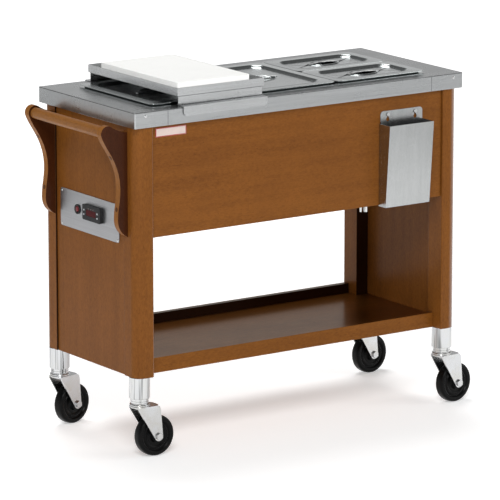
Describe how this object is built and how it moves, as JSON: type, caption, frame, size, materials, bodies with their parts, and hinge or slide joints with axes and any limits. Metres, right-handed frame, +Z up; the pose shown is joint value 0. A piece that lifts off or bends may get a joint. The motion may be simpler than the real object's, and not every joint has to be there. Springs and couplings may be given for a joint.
{
  "type": "mobile bain-marie carving trolley",
  "caption": "Mobile steam table trolley: stainless worktop with lidded pans over a water tank, cutting board on a stand, wooden body with open shelf bay, push handle and swivel casters.",
  "frame": {"origin": "middle of the floor area the trolley covers, at floor level", "axes": "+X along the trolley away from the push handle, +Y to its rear, +Z up"},
  "size_m": [1.0796, 0.46, 0.8938],
  "materials": {
    "stained_wood": "satin lacquer over brown stain",
    "worktop_steel": "brushed stainless",
    "pan_steel": "polished stainless",
    "sheet_steel": "satin stainless",
    "chrome_tube": "chrome plated",
    "bright_zinc": "bright zinc plated",
    "black_tyre": "smooth",
    "black_plastic": "fine grain",
    "red_plastic": "gloss",
    "dark_window": "gloss",
    "grey_buttons": "matt",
    "white_board": "matt polyethylene",
    "brass_fitting": "plain"
  },
  "bodies": {
    "chassis": {"apron_front": "stained_wood", "apron_rear": "stained_wood", "cable_gland": "black_plastic", "control_plate": "sheet_steel", "display_window": "dark_window", "drain_valve": "chrome_tube", "end_panel_left": "stained_wood", "end_panel_right": "stained_wood", "handle_bar": "stained_wood", "handle_bracket_front": "stained_wood", "handle_bracket_rear": "stained_wood", "heating_element": "chrome_tube", "leg_front_left": "chrome_tube", "leg_front_right": "chrome_tube", "leg_rear_left": "chrome_tube", "leg_rear_right": "chrome_tube", "pan_bar_left": "worktop_steel", "pan_bar_right": "worktop_steel", "pocket_screw_1": "bright_zinc", "pocket_screw_2": "bright_zinc", "post_front_left": "stained_wood", "post_front_right": "stained_wood", "post_rear_left": "stained_wood", "post_rear_right": "stained_wood", "shelf": "stained_wood", "switch_bezel": "black_plastic", "temperature_probe": "brass_fitting", "thermostat": "black_plastic", "under_tank_casing": "worktop_steel", "water_tank": "worktop_steel", "worktop": "worktop_steel"},
    "caster_front_left": {"fork_front_left": "bright_zinc", "axle_front_left": "bright_zinc"},
    "roller_front_left": {"wheel_front_left": "black_tyre"},
    "caster_rear_left": {"fork_rear_left": "bright_zinc", "axle_rear_left": "bright_zinc"},
    "roller_rear_left": {"wheel_rear_left": "black_tyre"},
    "caster_front_right": {"fork_front_right": "bright_zinc", "axle_front_right": "bright_zinc"},
    "roller_front_right": {"wheel_front_right": "black_tyre"},
    "caster_rear_right": {"fork_rear_right": "bright_zinc", "axle_rear_right": "bright_zinc"},
    "roller_rear_right": {"wheel_rear_right": "black_tyre"},
    "board_stand": {"board_stand": "sheet_steel"},
    "cutting_board": {"cutting_board": "white_board"},
    "pan_left": {"pan_left": "pan_steel"},
    "lid_left": {"lid_left": "pan_steel"},
    "pan_middle": {"pan_middle": "pan_steel"},
    "lid_middle": {"lid_middle": "pan_steel"},
    "pan_right_front": {"pan_right_front": "pan_steel"},
    "lid_right_front": {"lid_right_front": "pan_steel"},
    "pan_right_rear": {"pan_right_rear": "pan_steel"},
    "lid_right_rear": {"lid_right_rear": "pan_steel"},
    "pocket": {"pocket": "sheet_steel"},
    "drain_lever": {"drain_lever": "chrome_tube"},
    "rocker_switch": {"rocker_switch": "red_plastic"},
    "button_1": {"button_1": "grey_buttons"},
    "button_2": {"button_2": "grey_buttons"},
    "button_3": {"button_3": "grey_buttons"},
    "button_4": {"button_4": "grey_buttons"}
  },
  "joints": [
    {"name": "swivel_front_left", "type": "hinge", "parent": "chassis", "child": "caster_front_left", "pos_m": [-0.44334, -0.1635, 0.13], "axis": [0, 0, 1], "continuous": true},
    {"name": "roll_front_left", "type": "hinge", "parent": "caster_front_left", "child": "roller_front_left", "pos_m": [-0.40334, -0.1635, 0.05], "axis": [0, 1, 0], "continuous": true},
    {"name": "swivel_rear_left", "type": "hinge", "parent": "chassis", "child": "caster_rear_left", "pos_m": [-0.44334, 0.1925, 0.13], "axis": [0, 0, 1], "continuous": true},
    {"name": "roll_rear_left", "type": "hinge", "parent": "caster_rear_left", "child": "roller_rear_left", "pos_m": [-0.40437, 0.2015, 0.05], "axis": [-0.225, 0.9744, 0], "continuous": true},
    {"name": "swivel_front_right", "type": "hinge", "parent": "chassis", "child": "caster_front_right", "pos_m": [0.44966, -0.1635, 0.13], "axis": [0, 0, 1], "continuous": true},
    {"name": "roll_front_right", "type": "hinge", "parent": "caster_front_right", "child": "roller_front_right", "pos_m": [0.48944, -0.15932, 0.05], "axis": [-0.1045, 0.9945, 0], "continuous": true},
    {"name": "swivel_rear_right", "type": "hinge", "parent": "chassis", "child": "caster_rear_right", "pos_m": [0.44966, 0.1925, 0.13], "axis": [0, 0, 1], "continuous": true},
    {"name": "roll_rear_right", "type": "hinge", "parent": "caster_rear_right", "child": "roller_rear_right", "pos_m": [0.4895, 0.19599, 0.05], "axis": [-0.0872, 0.9962, 0], "continuous": true},
    {"name": "stand_lift", "type": "slide", "parent": "chassis", "child": "board_stand", "axis": [0, 0, 1], "range_m": [0, 0.45]},
    {"name": "board_lift", "type": "slide", "parent": "board_stand", "child": "cutting_board", "axis": [0, 0, 1], "range_m": [0, 0.06]},
    {"name": "pan_left_lift", "type": "slide", "parent": "chassis", "child": "pan_left", "axis": [0, 0, 1], "range_m": [0, 0.18]},
    {"name": "lid_left_lift", "type": "slide", "parent": "pan_left", "child": "lid_left", "axis": [0, 0, 1], "range_m": [0, 0.07]},
    {"name": "pan_middle_lift", "type": "slide", "parent": "chassis", "child": "pan_middle", "axis": [0, 0, 1], "range_m": [0, 0.18]},
    {"name": "lid_middle_lift", "type": "slide", "parent": "pan_middle", "child": "lid_middle", "axis": [0, 0, 1], "range_m": [0, 0.07]},
    {"name": "pan_right_front_lift", "type": "slide", "parent": "chassis", "child": "pan_right_front", "axis": [0, 0, 1], "range_m": [0, 0.18]},
    {"name": "lid_right_front_lift", "type": "slide", "parent": "pan_right_front", "child": "lid_right_front", "axis": [0, 0, 1], "range_m": [0, 0.07]},
    {"name": "pan_right_rear_lift", "type": "slide", "parent": "chassis", "child": "pan_right_rear", "axis": [0, 0, 1], "range_m": [0, 0.18]},
    {"name": "lid_right_rear_lift", "type": "slide", "parent": "pan_right_rear", "child": "lid_right_rear", "axis": [0, 0, 1], "range_m": [0, 0.07]},
    {"name": "pocket_lift", "type": "slide", "parent": "chassis", "child": "pocket", "axis": [0, 0, 1], "range_m": [0, 0.012]},
    {"name": "drain_lever_turn", "type": "hinge", "parent": "chassis", "child": "drain_lever", "pos_m": [0.31816, -0.0015, 0.512], "axis": [-1, 0, 0], "range_deg": [0, 90]},
    {"name": "switch_rock", "type": "hinge", "parent": "chassis", "child": "rocker_switch", "pos_m": [-0.46064, 0.0685, 0.5638], "axis": [0, 1, 0], "range_deg": [-16, 0]},
    {"name": "button_1_press", "type": "slide", "parent": "chassis", "child": "button_1", "axis": [1, 0, 0], "range_m": [0, 0.001], "stiffness_N_per_m": 400},
    {"name": "button_2_press", "type": "slide", "parent": "chassis", "child": "button_2", "axis": [1, 0, 0], "range_m": [0, 0.001], "stiffness_N_per_m": 400},
    {"name": "button_3_press", "type": "slide", "parent": "chassis", "child": "button_3", "axis": [1, 0, 0], "range_m": [0, 0.001], "stiffness_N_per_m": 400},
    {"name": "button_4_press", "type": "slide", "parent": "chassis", "child": "button_4", "axis": [1, 0, 0], "range_m": [0, 0.001], "stiffness_N_per_m": 400}
  ],
  "couplings": [
    {"joint": "pan_left_lift", "follows": "stand_lift", "ratio": 0.4},
    {"joint": "lid_left_lift", "follows": "stand_lift", "ratio": 0.15},
    {"joint": "pan_middle_lift", "follows": "stand_lift", "ratio": 0.4},
    {"joint": "lid_middle_lift", "follows": "stand_lift", "ratio": 0.15}
  ]
}
